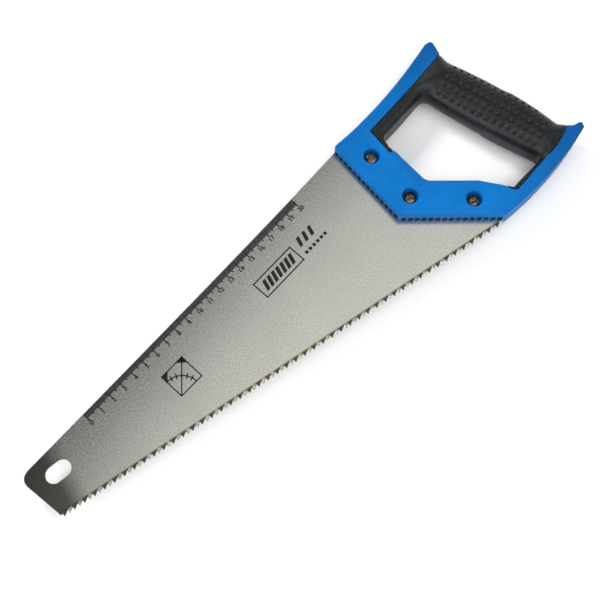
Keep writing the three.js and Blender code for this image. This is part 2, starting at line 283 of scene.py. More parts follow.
sheared = ~in_teeth & (np.abs(upright) < FACES_SIDEWAYS)
finish_index = np.where(skinned | sheared, OXIDE_SKIN, np.where(bare, BARE_TOOTH, BARE_PLATE))
blade.data.polygons.foreach_set("material_index", finish_index.astype(np.int32))
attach(blade, "root")
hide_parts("blade")


def linear(hex_code):
    """An sRGB hex colour as linear red, green, blue and alpha."""
    srgb = np.array([int(hex_code[i:i + 2], 16) for i in (1, 3, 5)]) / 255
    rgb = np.where(srgb <= 0.04045, srgb / 12.92, ((srgb + 0.055) / 1.055) ** 2.4)
    return (*rgb, 1.0)


def add(tree, kind, inputs, **settings):
    """Adds a shader node with its settings; each input is a value, or the output socket that feeds it."""
    made = tree.nodes.new("ShaderNode" + kind)
    for name, value in settings.items():
        setattr(made, name, value)
    for socket, value in inputs.items():
        if isinstance(value, bpy.types.NodeSocket):
            tree.links.new(value, made.inputs[socket])
        else:
            made.inputs[socket].default_value = value
    return made


# Ground carbon steel: a grey satin metal whose grind marks break the reflection into a soft mottle. The
# induction-hardened tooth zone is straw-coloured above and blue-black at the teeth.
steel = bpy.data.materials.new("ground_carbon_steel")
steel.use_nodes = True
tree = steel.node_tree
surface = tree.nodes["Principled BSDF"]
surface.inputs["Metallic"].default_value = 1.0
where = add(tree, "TexCoord", {}).outputs["Object"]
MOTTLE = 1.2  # mm; grind marks of about 0.1 mm drawn coarser so that they show
CLOUD = 26  # mm; uneven pressure of the grinding belt
NOISE_LOW, NOISE_HIGH = 0.3, 0.7  # nearly all of a noise pattern lies between these
mottle = add(tree, "TexNoise", {"Vector": where, "Scale": 1000 / MOTTLE, "Detail": 3.0, "Roughness": 0.6})
cloud = add(tree, "TexNoise", {"Vector": where, "Scale": 1000 / CLOUD, "Detail": 2.0})
grain = add(tree, "MapRange", {0: mottle.outputs[0], 1: NOISE_LOW, 2: NOISE_HIGH})
ground = add(tree, "Mix", {0: grain.outputs[0], 6: linear("#a4a49d"), 7: linear("#c9c9c2")},
             data_type="RGBA")
CLOUD_SHARE = 0.4
drift = add(tree, "MapRange", {0: cloud.outputs[0], 1: NOISE_LOW, 2: NOISE_HIGH, 3: 0.0, 4: CLOUD_SHARE})
clouded = add(tree, "Mix", {0: drift.outputs[0], 6: ground.outputs[2], 7: linear("#a9aca3")},
              data_type="RGBA")
from_heel = add(tree, "Mapping", {0: where, 1: tuple(-HEEL / 1000)})
along_blade, height, _ = add(tree, "SeparateXYZ", {0: from_heel.outputs[0]}).outputs

# The heat's straw tint fades out, along a wavering line, these heights (in metres) above the tooth line.
STRAW_TOP, STRAW_FOOT, STRAW_WAVER, STRAW_SHARE = 0.0085, 0.0045, 0.003, 0.35
wobble = add(tree, "Math", {0: cloud.outputs[0], 1: STRAW_WAVER, 2: height}, operation="MULTIPLY_ADD")
straw_share = add(tree, "MapRange", {0: wobble.outputs[0], 1: STRAW_TOP, 2: STRAW_FOOT, 3: 0.0, 4: STRAW_SHARE})
straw = add(tree, "Mix", {0: straw_share.outputs[0], 6: clouded.outputs[2], 7: linear("#b9b493")},
            data_type="RGBA")

# The toe is painted darker, fading in over a short stretch along the blade: a painted dark reflection of the
# surround.
TOE_REFLECTION_FULL, TOE_REFLECTION_START = -0.341, -0.327
toe_reflection_share = add(tree, "MapRange", {0: along_blade, 1: TOE_REFLECTION_START, 2: TOE_REFLECTION_FULL})
toe_reflection_mix = add(tree, "Mix", {0: toe_reflection_share.outputs[0], 6: straw.outputs[2], 7: linear("#66665f")},
          data_type="RGBA")
OXIDE_TOP, OXIDE_FOOT, OXIDE_SHARE = 0.0036, 0.0026, 0.85
tooth_share = add(tree, "MapRange", {0: height, 1: OXIDE_TOP, 2: OXIDE_FOOT, 3: 0.0, 4: OXIDE_SHARE})
hardened = add(tree, "Mix", {0: tooth_share.outputs[0], 6: toe_reflection_mix.outputs[2], 7: linear("#4a463c")},
               data_type="RGBA")
tree.links.new(hardened.outputs[2], surface.inputs["Base Color"])
SATIN_LOW, SATIN_HIGH = 0.2, 0.28
polish = add(tree, "MapRange", {0: mottle.outputs[0], 1: NOISE_LOW, 2: NOISE_HIGH, 3: SATIN_LOW, 4: SATIN_HIGH})
tree.links.new(polish.outputs[0], surface.inputs["Roughness"])
relief = add(tree, "Bump", {"Strength": 0.1, "Distance": 0.0001, "Height": mottle.outputs[0]})
tree.links.new(relief.outputs[0], surface.inputs["Normal"])
blade.data.materials.append(steel)

# The hardened skin is a blue-black oxide; the freshly ground faces are bare steel, tinted by the heat.
STREAK = 0.9  # mm
OXIDE_ROUGHNESS = 0.35
for name, dark, light, metallic in (("hardened_oxide", "#25221f", "#4a4744", 0.6),
                                    ("ground_tooth", "#6f6a58", "#c9c6ba", 0.9)):
    finish = bpy.data.materials.new(name)
    finish.use_nodes = True
    tree = finish.node_tree
    surface = tree.nodes["Principled BSDF"]
    surface.inputs["Metallic"].default_value = metallic
    surface.inputs["Roughness"].default_value = OXIDE_ROUGHNESS
    where = add(tree, "TexCoord", {}).outputs["Object"]
    streak = add(tree, "TexNoise", {"Vector": where, "Scale": 1000 / STREAK, "Detail": 2.0})
    share = add(tree, "MapRange", {0: streak.outputs[0], 1: 0.35, 2: 0.65})
    tone = add(tree, "Mix", {0: share.outputs[0], 6: linear(dark), 7: linear(light)}, data_type="RGBA")
    tree.links.new(tone.outputs[2], surface.inputs["Base Color"])
    blade.data.materials.append(finish)

# ---- Print on the blade ---------------------------------------------------------------------------------
# Black pad-printed ink: a 20 cm ruler along the back, an angle mark near the toe, and a plain framed panel.
INK_THICKNESS = 0.02
INK_HEIGHT = BLADE_HALF + 0.01  # its underside, a hair off the steel
RULER_TURN = math.atan2(back_bend[1] - TOE_HEIGHT, back_bend[0] - toe_top[0])
RULER_ZERO = np.array([-304.1, 43.67])
along_back = np.array([math.cos(RULER_TURN), math.sin(RULER_TURN)])
down_blade = np.array([along_back[1], -along_back[0]])
print_vertices, print_faces = [], []


def ink(outline):
    """Adds a flat printed shape, a convex loop in the blade's plane, as a thin closed slab."""
    count = len(outline)
    first = sum(len(v) for v in print_vertices)
    print_vertices.append(at_height(outline, INK_HEIGHT + INK_THICKNESS))
    print_vertices.append(at_height(outline, INK_HEIGHT))
    ring = np.arange(count)
    nxt = np.roll(ring, -1)
    print_faces.append((first + ring).tolist())
    print_faces.append((first + count + ring[::-1]).tolist())
    walls = np.stack([first + nxt, first + ring, first + count + ring, first + count + nxt], 1)
    print_faces.extend(walls.tolist())


def stroke(start, end, width):
    """Inks a straight line of that width between two points."""
    start, end = np.array(start, float), np.array(end, float)
    side = (end - start) / np.linalg.norm(end - start)
    side = np.array([-side[1], side[0]]) * width / 2
    ink(np.stack([start - side, end - side, end + side, start + side]))


# The ticks start at the back edge, which is slightly bowed, and end at these depths below the base line.
TICK_FEET = {"millimetre": -1.1, "half": 0.1, "centimetre": 1.2}
EDGE_MARGIN = 0.2
FINE_TICK, BOLD_TICK = 0.84, 0.92
from_zero = back_edge[::-1] - RULER_ZERO
for mm in range(201):
    kind = "centimetre" if mm % 10 == 0 else "half" if mm % 5 == 0 else "millimetre"
    tick_top = np.interp(mm, from_zero @ along_back, from_zero @ down_blade) + EDGE_MARGIN
    head = RULER_ZERO + mm * along_back + tick_top * down_blade
    foot = RULER_ZERO + mm * along_back + TICK_FEET[kind] * down_blade
    stroke(head, foot, FINE_TICK if kind == "millimetre" else BOLD_TICK)

DIGIT_SIZE, DIGIT_WEIGHT = 4.5, 0.17
DIGIT_DROP = 3.1  # from the ruler's base line to the middle of a number
for number in range(21):
    text = bpy.data.curves.new("number", "FONT")
    text.body = str(number)
    text.size = DIGIT_SIZE
    text.align_x, text.align_y = "CENTER", "CENTER"
    text.extrude = INK_THICKNESS / 2
    text.offset = DIGIT_WEIGHT
    text.resolution_u = 3
    written = bpy.data.objects.new("number", text)
    bpy.context.scene.collection.objects.link(written)
    flat = bpy.data.meshes.new_from_object(written.evaluated_get(bpy.context.evaluated_depsgraph_get()))
    bpy.data.objects.remove(written)
    spot = RULER_ZERO + 10 * number * along_back + DIGIT_DROP * down_blade
    flat.transform(Matrix.Translation((*spot, INK_HEIGHT)) @ Matrix.Rotation(RULER_TURN, 4, "Z"))
    first = sum(len(v) for v in print_vertices)
    co = np.empty(len(flat.vertices) * 3)
    flat.vertices.foreach_get("co", co)
    print_vertices.append(co.reshape(-1, 3))
    print_faces.extend([[first + v for v in p.vertices] for p in flat.polygons])

# A framed panel of slanting bars, with three larger bars and a row of squares beside it
PANEL_FOOT = np.array([-163.5, 47.1])
PANEL_LENGTH, PANEL_WIDTH = 36.0, 13.0
PANEL_LINE = 0.95
across = -down_blade
panel = [PANEL_FOOT + u * PANEL_LENGTH * along_back + v * PANEL_WIDTH * across
         for u, v in ((0, 0), (1, 0), (1, 1), (0, 1))]
for a, b in zip(panel, panel[1:] + panel[:1]):
    lengthen = PANEL_LINE / 2 * (b - a) / np.linalg.norm(b - a)
    stroke(a - lengthen, b + lengthen, PANEL_LINE)
BAR_COUNT, BAR_PITCH, BAR_WIDTH = 7, 4.2, 2.8
BIG_BAR_COUNT, BIG_BAR_PITCH, BIG_BAR_WIDTH = 3, 5.6, 2.8
SQUARE_COUNT, SQUARE_PITCH, SQUARE = 6, 3.7, 2.3


def bars(first, count, pitch, width, low, high, slant):
    """Inks a row of slanting bars: width along the panel, from low to high across it."""
    for left in first + pitch * np.arange(count):
        ink(np.stack([PANEL_FOOT + u * along_back + v * across for u, v in (
            (left, low), (left + width, low), (left + width + slant, high), (left + slant, high))]))


bars(3.0, BAR_COUNT, BAR_PITCH, BAR_WIDTH, 2.7, 10.3, 2.6)
bars(41.0, BIG_BAR_COUNT, BIG_BAR_PITCH, BIG_BAR_WIDTH, 7.4, 14.2, 2.4)
bars(40.2, SQUARE_COUNT, SQUARE_PITCH, SQUARE, 0.9, 0.9 + SQUARE, 0)

# An angle mark: a square with its diagonal, a quarter circle divided every 15 degrees, and two inked
# corners
MARK_CORNER = np.array([-250.8, 40.7])
MARK_SIDE = 18.4
MARK_LINE = 0.85
MARK_CORNER_INK = 5.5
MARK_TURN = math.radians(13)
mark_u = np.array([math.cos(MARK_TURN), math.sin(MARK_TURN)])
mark_v = np.array([mark_u[1], -mark_u[0]])
mark = [MARK_CORNER + MARK_SIDE * (u * mark_u + v * mark_v) for u, v in ((0, 0), (1, 0), (1, 1), (0, 1))]
for a, b in zip(mark, mark[1:] + mark[:1]):
    lengthen = MARK_LINE / 2 * (b - a) / MARK_SIDE
    stroke(a - lengthen, b + lengthen, MARK_LINE)
stroke(mark[3], mark[1], MARK_LINE)
for corner, side in ((mark[0], 1), (mark[1], -1)):
    wedge = np.stack([corner, corner + MARK_CORNER_INK * mark_v, corner + side * MARK_CORNER_INK * mark_u])
    ink(wedge[::side])
ARC_RADIUS, ARC_TICK = 13.6, 2
arc = [mark[3] + ARC_RADIUS * (math.cos(a) * mark_u - math.sin(a) * mark_v)
       for a in np.linspace(0, math.pi / 2, 19)]
for a, b in zip(arc, arc[1:]):
    stroke(a, b, MARK_LINE)
for step in range(1, 6):
    a = step * math.pi / 12
    ray = math.cos(a) * mark_u - math.sin(a) * mark_v
    stroke(mark[3] + (ARC_RADIUS - ARC_TICK) * ray, mark[3] + (ARC_RADIUS + ARC_TICK) * ray, MARK_LINE)

blade_print = piece("blade_print", np.concatenate(print_vertices), print_faces)
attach(blade_print, "root")

# Pad-printing ink: thin, matt and black, a little worn where it is thinnest
ink_black = bpy.data.materials.new("pad_printing_ink")
ink_black.use_nodes = True
tree = ink_black.node_tree
surface = tree.nodes["Principled BSDF"]
where = add(tree, "TexCoord", {}).outputs["Object"]
WEAR = 0.7  # mm
WEAR_START, WEAR_END, WEAR_SHARE = 0.45, 0.8, 0.5
wear = add(tree, "TexNoise", {"Vector": where, "Scale": 1000 / WEAR, "Detail": 2.0})
worn = add(tree, "MapRange", {0: wear.outputs[0], 1: WEAR_START, 2: WEAR_END, 3: 0.0, 4: WEAR_SHARE})
shade = add(tree, "Mix", {0: worn.outputs[0], 6: linear("#0c0b0e"), 7: linear("#3a3835")}, data_type="RGBA")
tree.links.new(shade.outputs[2], surface.inputs["Base Color"])
surface.inputs["Roughness"].default_value = 0.5
surface.inputs["Specular IOR Level"].default_value = 0.2
blade_print.data.materials.append(ink_black)

# ---- Handle ---------------------------------------------------------------------------------------------
# Two materials in one moulding: a hard blue polypropylene frame, and soft black rubber moulded round the
# grip and along the inside of the arm. Both share one surface, with a fine groove where they meet.
HANDLE = [(*HEEL_CORNER, 0, (46.5, 5.8)), (86.9, 23.2, 1.5), (88.8, 28.2, 2.5), (82, 28.8, 4),
          (74.6, 37, 6, (66.5, 74)), (42, 120, 6), (39.4, 129, 5), (40.4, 139.2, 3),
          (34.2, 139.2, 3, (-17.5, 116.2)), (*UPPER_CORNER, 2), (*FRONT_CORNER, 0)]
OPENING = [(18, 15.2, 1.5), (49.2, 22.4, 4, (26.2, 66)), (11.4, 108.6, 7), (-34.4, 96.6, 6),
           (-27.4, 53.6, 9), (0.8, 33, 3)]
SOFT = [(-38.4, 105, 0.5), (-36.8, 84, 0.5), (-20, 84, 0), (-10, 60, 0), (14, 20, 0), (15.5, 15.2, 0),
        (18.9, 12.2, 0), (50, 20.3, 0, (63, 21.2)), (77.5, 31.5, 0), (100, 46, 0), (70, 150, 0),
        (46, 140, 0), (38.6, 126.6, 4, (18, 119.4))]
OUTLINE_STEP = 1.3
CORNER_STEP = 0.5


def outline(corners):
    """A closed outline through corners (x, y, radius, control): straight runs, or quadratic curves with
    that control point, and each corner cut back by its radius and rounded with a quadratic curve."""
    place = [np.array(c[:2], float) for c in corners]
    aim = [np.array(c[3], float) if len(c) > 3 else None for c in corners]
    count = len(corners)
    ends = []
    for i, corner in enumerate(place):
        before = aim[i - 1] if aim[i - 1] is not None else place[i - 1]
        after = aim[i] if aim[i] is not None else place[(i + 1) % count]
        into = (corner - before) / np.linalg.norm(corner - before)
        out = (after - corner) / np.linalg.norm(after - corner)
        cut = corners[i][2] * math.tan(math.acos(np.clip(into @ out, -1, 1)) / 2)
        ends.append((corner - cut * into, corner + cut * out))
    runs = []
    for i, (start, end) in enumerate(ends):
        bend_length = np.linalg.norm(end - start)
        if bend_length > 1e-6:
            runs.append(quadratic(start, place[i], end, 2 + int(bend_length / CORNER_STEP)))
        following = ends[(i + 1) % count][0]
        control = aim[i] if aim[i] is not None else (end + following) / 2
        steps = 1 + int(np.linalg.norm(following - end) / OUTLINE_STEP)
        runs.append(quadratic(end, control, following, steps))
    return np.concatenate(runs)


def distance(points, line, closed=True):
    """How far each point is from the nearest part of a line."""
    start, end = (line, np.roll(line, -1, 0)) if closed else (line[:-1], line[1:])
    edge = end - start
    reach = points[:, None] - start
    share = np.clip(np.sum(reach * edge, 2) / np.sum(edge * edge, 1), 0, 1)
    return np.linalg.norm(reach - share[..., None] * edge, axis=2).min(1)


def shifted(loop, by):
    """A loop moved outwards by a distance, or inwards where that is negative, point by point along the
    mean normal, without the points that land too near to the loop."""
    ahead = np.roll(loop, -1, 0) - loop
    ahead /= np.linalg.norm(ahead, axis=1)[:, None]
    behind = np.roll(ahead, 1, 0)
    normal = np.stack([ahead[:, 1] + behind[:, 1], -ahead[:, 0] - behind[:, 0]], 1)
    normal /= np.linalg.norm(normal, axis=1)[:, None]
    stretch = np.sqrt(np.maximum(0.3, (1 + np.sum(ahead * behind, 1)) / 2))
    moved = loop + normal * (np.broadcast_to(by, len(loop)) / stretch)[:, None]
    return moved[distance(moved, loop) > 0.93 * np.abs(np.broadcast_to(by, len(loop)))]


def ease(value):
    """0 below 0, 1 above 1, and a smooth step between."""
    value = np.clip(value, 0, 1)
    return value * value * (3 - 2 * value)


handle_edge, opening_edge, soft_edge = outline(HANDLE), outline(OPENING), outline(SOFT)

# The grip's own directions: along it, from the lower horn to the upper, and across it, outwards
GRIP_TURN = math.radians(23.6)
GRIP_MIDDLE = 70.07
CHEEK_HALF, GRIP_HALF = 10.0, 13.25
CHEEK_ROUND, GRIP_ROUND_WIDTH, GRIP_ROUND_RISE = 1.5, 11.0, 9.5
SOFT_ROUND_WIDTH, SOFT_ROUND_RISE = 2.5, 2.0  # the rubber's edge is rounder by this much


def grip_axes(points):
    """Across and along the grip, in millimetres."""
    cos, sin = math.cos(GRIP_TURN), math.sin(GRIP_TURN)
    return (cos * points[:, 0] + sin * points[:, 1] - GRIP_MIDDLE, -sin * points[:, 0] + cos * points[:, 1])


def swell(points):
    """0 on the flat cheek, 1 on the full grip: smooth steps up from the lower horn, down to the upper horn,
    and up from the opening."""
    across, along = grip_axes(points)
    lower, upper, inner = ease((along + 12) / 17), ease((108 - along) / 18), ease((across + 40) / 28)
    return lower * upper * inner


def softness(points):
    """1 on the rubber of the arm, whose edges are rounder than the blue ones, from 40 mm along the grip."""
    along = grip_axes(points)[1]
    return inside(points, soft_edge) * ease((along - 40) / 10)


# The finger scoop: a slope from this line down to the opening
SCOOP_LINE = np.array([(-36.8, 90), (-36.8, 78.5), (-35.1, 53.6), (-31, 47.7), (-25.8, 45.5), (-14, 39.6),
                       (-4.1, 34.6), (1.4, 32.2)])
SCOOP_SIDE = np.concatenate([SCOOP_LINE, [(8, 40), (-5, 70), (-20, 95)]])
SCOOP_SLOPE = 0.42
CREASE = np.array([(-63.0, 63.7), (-37.0, 68.6)])  # where the two flats of the cheek meet
CREASE_SLOPE = 1 / 45

# Counterbores for the screws, each with a thin raised ring
BORE, RING_IN, RING_OUT, RING_RISE, MOUTH = 5.7, 5.95, 6.35, 0.18, 0.22
SEAT = 4.2


def surface_height(points):
    """Height of the handle's surface over the middle plane. From the rim inwards it rises as a quarter of
    an ellipse, whose width and height grow from the cheek to the grip, to a top that swells with them."""
    grown, soft = swell(points), softness(points)
    top = CHEEK_HALF + (GRIP_HALF - CHEEK_HALF) * grown
    wide = CHEEK_ROUND + GRIP_ROUND_WIDTH * grown + SOFT_ROUND_WIDTH * soft
    rise = CHEEK_ROUND + GRIP_ROUND_RISE * grown + SOFT_ROUND_RISE * soft
    rim = np.minimum(distance(points, handle_edge), distance(points, opening_edge))
    scooped = inside(points, SCOOP_SIDE) * distance(points, SCOOP_LINE, closed=False) * SCOOP_SLOPE
    crease_way = CREASE[1] - CREASE[0]
    crease_way /= np.linalg.norm(crease_way)
    above = (points - CREASE[0]) @ np.array([-crease_way[1], crease_way[0]])
    fall = np.clip(above, 0, 25) * CREASE_SLOPE * ease((-38 - points[:, 0]) / 4)
    height = top - rise + rise * np.sqrt(1 - (1 - np.minimum(rim, wide) / wide) ** 2) - scooped - fall
    for place in SCREWS.values():
        radius = np.linalg.norm(points - place, axis=1)
        ring = ease((radius - BORE - 0.1) / 0.3) * ease((RING_OUT + 0.15 - radius) / 0.3)
        mouth = np.clip((BORE + MOUTH - radius) / MOUTH, 0, 1)
        height = height + RING_RISE * ring - MOUTH * mouth
    return height


# Rubber studs on the grip, in rows along it
STUD_ROWS = (-12.0, -6.0, 0.3, 6.5, 12.5)
STUD_FIRST, STUD_PITCH, STUD_COUNT = 9.8, 5.45, 15
STUD_RADIUS, STUD_HEIGHT, STUD_MOAT = 1.35, 1.05, 0.3
row, column = np.meshgrid(STUD_ROWS, STUD_FIRST + STUD_PITCH * np.arange(STUD_COUNT), indexing="ij")
cos, sin = math.cos(GRIP_TURN), math.sin(GRIP_TURN)
studs = np.stack([cos * (row + GRIP_MIDDLE) - sin * column, sin * (row + GRIP_MIDDLE) + cos * column], -1)
studs = studs.reshape(-1, 2)
STUD_MARGIN = 3.2
studs = studs[distance(studs, handle_edge) > STUD_MARGIN]

HALF_GROOVE = 0.15
blue_seam, soft_seam = shifted(soft_edge, HALF_GROOVE), shifted(soft_edge, -HALF_GROOVE)
bores = [circle(x, y, BORE, 48) for x, y in SCREWS.values()]

# Free points: rings that follow the rims, the seams, the counterbores and the studs, and a grid between
RIM_RINGS = (0.05, 0.14, 0.28, 0.46, 0.7, 1.0)  # shares of the rounding's width
SEAM_RINGS = (0.25, 0.5, 0.9)  # mm from the seam
STUD_RINGS = ((0.35, 8), (0.68, 12), (0.9, 16), (1.0, 16), (1.2, 16))  # share of the radius, and points
BORE_RINGS = (BORE + MOUTH, RING_IN + 0.1, RING_OUT - 0.1, RING_OUT + 0.15, 7.4)
CLEAR_OF_STUD, CLEAR_OF_RIM, CLEAR_OF_SEAM, CLEAR_OF_BORE = 0.25, 1.7, 1.3, 8
free = []
for share in RIM_RINGS:
    for loop, sign in ((handle_edge, -1), (opening_edge, 1)):
        wide = CHEEK_ROUND + GRIP_ROUND_WIDTH * swell(loop) + SOFT_ROUND_WIDTH * softness(loop)
        free.append(shifted(loop, sign * share * wide))
for by in SEAM_RINGS:
    free += [shifted(blue_seam, by), shifted(soft_seam, -by)]
for x, y in SCREWS.values():
    free += [circle(x, y, r, 48) for r in BORE_RINGS]
GRID_STEP = 1.5
columns, rows = np.meshgrid(np.arange(-70, 92, GRID_STEP), np.arange(0, 142, GRID_STEP * 0.866))
columns = columns + GRID_STEP / 2 * (np.arange(len(rows)) % 2)[:, None]
grid = np.stack([columns.ravel(), rows.ravel()], 1)
free.append(grid)
free = np.concatenate(free)
keep = inside(free, handle_edge) & ~inside(free, opening_edge)
keep &= np.linalg.norm(free[:, None] - studs, axis=2).min(1) > STUD_RADIUS + CLEAR_OF_STUD
rim_gap = np.minimum(distance(grid, handle_edge), distance(grid, opening_edge))
keep[-len(grid):] &= (rim_gap > CLEAR_OF_RIM) & (distance(grid, soft_edge) > CLEAR_OF_SEAM)
for x, y in SCREWS.values():
    keep[-len(grid):] &= np.linalg.norm(grid - (x, y), axis=1) > CLEAR_OF_BORE
stud_points = [studs] + [
    np.concatenate([circle(x, y, STUD_RADIUS * share, count) for x, y in studs])
    for share, count in STUD_RINGS]
free = np.concatenate([free[keep], *stud_points])

handle_points, handle_triangles = triangulate(
    [handle_edge, opening_edge, blue_seam, soft_seam, *bores], free, lines=[SCOOP_LINE])
middle = handle_points[handle_triangles].mean(1)
in_handle = inside(middle, handle_edge) & ~inside(middle, opening_edge)
blue_part = in_handle & ~inside(middle, blue_seam)
for bore in bores:
    blue_part &= ~inside(middle, bore)
soft_part = in_handle & inside(middle, soft_seam)

LIP = 0.45  # radius of the two materials' edges at the groove
base_height = surface_height(handle_points)


def lipped(height, seam):
    """The surface rounded down to the groove: it drops as a quarter circle over LIP from the seam."""
    short = 1 - np.minimum(distance(handle_points, seam) / LIP, 1)
    return height - LIP * (1 - np.sqrt(1 - short ** 2))


def side_levels(height):
    """The walls below the rim: straight down, with a row close to each edge; and in a counterbore down to
    the seat, in to the barrel's hole, through, and out again."""
    wall = [(1, -0.4), (0.5, 0), (0, 0), (0, 0), (-0.5, 0), (-1, 0.4)]
    levels = [at_height(handle_points, share * height + extra) for share, extra in wall]
    profile = [(BORE, SEAT + 0.4), (BORE - 0.4, SEAT), (BARREL_HOLE, SEAT), (BARREL_HOLE, -SEAT),
               (BORE - 0.4, -SEAT), (BORE, -SEAT - 0.4)]
    for x, y in SCREWS.values():
        reach = handle_points - (x, y)
        radius = np.linalg.norm(reach, axis=1)
        on_bore = radius < BORE + 0.01
        for level, (r, z) in zip(levels, profile):
            level[on_bore, :2] = (x, y) + reach[on_bore] * (r / radius[on_bore])[:, None]
            level[on_bore, 2] = z
    return levels


blue_height = lipped(base_height, blue_seam)
handle = plate_mesh(
    "handle_body", handle_points, handle_triangles[blue_part],
    at_height(handle_points, blue_height), at_height(handle_points, -blue_height), side_levels(blue_height))

# The blade's slot, and the pockets between the clamping ribs along its mouth, are cut out of the frame.
FIT = 0.3
RIB_PITCH, RIB_WIDTH, POCKET_DEPTH, POCKET_RISE = 4.7, 1.4, 2.0, 3.0


def blocks(name, bases, half_heights):
    """Closed prisms: each base, an anticlockwise loop, carried from -half height to +half height."""
    vertices, faces, first = [], [], 0
    for base, half in zip(bases, half_heights):
        count = len(base)
        vertices += [at_height(base, -half), at_height(base, half)]
        low = first + np.arange(count)
        faces += [low[::-1].tolist(), (low + count).tolist()]
        faces += np.stack([low, np.roll(low, -1), np.roll(low, -1) + count, low + count], 1).tolist()
        first += 2 * count
    return piece(name, np.concatenate(vertices), faces)


slot_base = np.concatenate([
    [(UPPER_CORNER[0] - 20, BACK_END[1] + FIT), (FRONT_CORNER[0] - 20, FRONT_CORNER[1] - 20),
     (HEEL_CORNER[0] - 1, HEEL_CORNER[1] - 22), (HEEL_CORNER[0] + FIT, HEEL_CORNER[1] - 20),
     (HEEL_CORNER[0] + FIT + 0.4, HEEL_CORNER[1] + 0.2)],
    np.array(HIDDEN_END) + (FIT, 0), [(BACK_END[0] + 4, BACK_END[1] + FIT)]])
pocket_bases = []
for start, end in ((HEEL_CORNER, FRONT_CORNER), (FRONT_CORNER, UPPER_CORNER)):
    start, end = np.array(start), np.array(end)
    length = np.linalg.norm(end - start)
    way = (end - start) / length
    side = np.array([-way[1], way[0]])
    number = int((length - RIB_WIDTH) / RIB_PITCH)
    margin = (length - number * RIB_PITCH) / 2
    half = (RIB_PITCH - RIB_WIDTH) / 2
    for i in range(number):
        centre = start + way * (margin + (i + 0.5) * RIB_PITCH)
        pocket_bases.append(np.stack([centre + u * half * way + v * POCKET_DEPTH * side
                                      for u, v in ((-1, -1), (1, -1), (1, 1), (-1, 1))]))


def carve(body, cutter):
    """Cuts one closed mesh out of another and removes the cutter."""
    cut = body.modifiers.new("cut", "BOOLEAN")
    cut.operation, cut.solver, cut.object = "DIFFERENCE", "MANIFOLD", cutter
    carved = bpy.data.meshes.new_from_object(body.evaluated_get(bpy.context.evaluated_depsgraph_get()))
    body.modifiers.clear()
    body.data = carved
    carved.materials.clear()
    carved.shade_smooth()
    carved.set_sharp_from_angle(angle=ROUND_EDGE)
    bpy.data.objects.remove(cutter)


carve(handle, blocks("slot_cutter", [slot_base], [BLADE_HALF + FIT]))
carve(handle, blocks("pocket_cutter", pocket_bases, [BLADE_HALF + POCKET_RISE] * len(pocket_bases)))
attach(handle, "root")
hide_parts("handle_frame")

# Moulded polypropylene: strong blue, satin from a fine spark-eroded mould, with faint flow marks and rubs
blue = bpy.data.materials.new("moulded_polypropylene")
blue.use_nodes = True
tree = blue.node_tree
surface = tree.nodes["Principled BSDF"]
surface.inputs["IOR"].default_value = 1.49
surface.inputs["Specular IOR Level"].default_value = 0.12
where = add(tree, "TexCoord", {}).outputs["Object"]
SPARK = 0.6  # mm; the mould's texture is near 0.1 mm and is drawn coarser
FLOW = 14  # mm; drift of the melt
spark = add(tree, "TexNoise", {"Vector": where, "Scale": 1000 / SPARK, "Detail": 2.0})
flow = add(tree, "TexNoise", {"Vector": where, "Scale": 1000 / FLOW, "Detail": 4.0, "Roughness": 0.6})
flow_share = add(tree, "MapRange", {0: flow.outputs[0], 1: NOISE_LOW, 2: NOISE_HIGH})
tone = add(tree, "Mix", {0: flow_share.outputs[0], 6: linear("#0061a8"), 7: linear("#0069b2")},
           data_type="RGBA")
# The blue is a little darker far from a point between the two lower screws, towards the arm and the horns.
DARKENING_CENTRE = (-30, 45, 0)
DARKER_FROM, DARKER_TO, DARKER_SHARE = 0.045, 0.125, 0.8  # metres from that point
centre_distance = add(tree, "VectorMath", {0: where, 1: tuple(metres(DARKENING_CENTRE))}, operation="DISTANCE")
darker_share = add(tree, "MapRange", {0: centre_distance.outputs[1], 1: DARKER_FROM, 2: DARKER_TO, 3: 0.0, 4: DARKER_SHARE})
darkened_blue = add(tree, "Mix", {0: darker_share.outputs[0], 6: tone.outputs[2], 7: linear("#003f74")},
              data_type="RGBA")
tree.links.new(darkened_blue.outputs[2], surface.inputs["Base Color"])
MOULD_LOW, MOULD_HIGH = 0.38, 0.5
gloss = add(tree, "MapRange", {0: flow.outputs[0], 1: NOISE_LOW, 2: NOISE_HIGH, 3: MOULD_LOW, 4: MOULD_HIGH})
tree.links.new(gloss.outputs[0], surface.inputs["Roughness"])
texture = add(tree, "Bump", {"Strength": 0.12, "Distance": 0.0001, "Height": spark.outputs[0]})
tree.links.new(texture.outputs[0], surface.inputs["Normal"])
handle.data.materials.append(blue)

# ---- Soft grip ------------------------------------------------------------------------------------------
# Thermoplastic rubber moulded over the frame: a thick, rounded hand grip with rows of small studs.
stud_gap = np.linalg.norm(handle_points[:, None] - studs, axis=2).min(1)
stud_rise = STUD_HEIGHT * np.sqrt(np.clip(1 - (stud_gap / STUD_RADIUS) ** 2, 0, 1))
MOAT_REACH, MOAT_SLOPE = 1.5 * STUD_RADIUS, 0.5
dimple = STUD_MOAT * ease((MOAT_REACH - stud_gap) / MOAT_SLOPE)
soft_height = lipped(base_height, soft_seam) + stud_rise - dimple
grip = plate_mesh(
    "rubber_grip", handle_points, handle_triangles[soft_part],
    at_height(handle_points, soft_height), at_height(handle_points, -soft_height), side_levels(soft_height))
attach(grip, "root")
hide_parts("soft_grip")

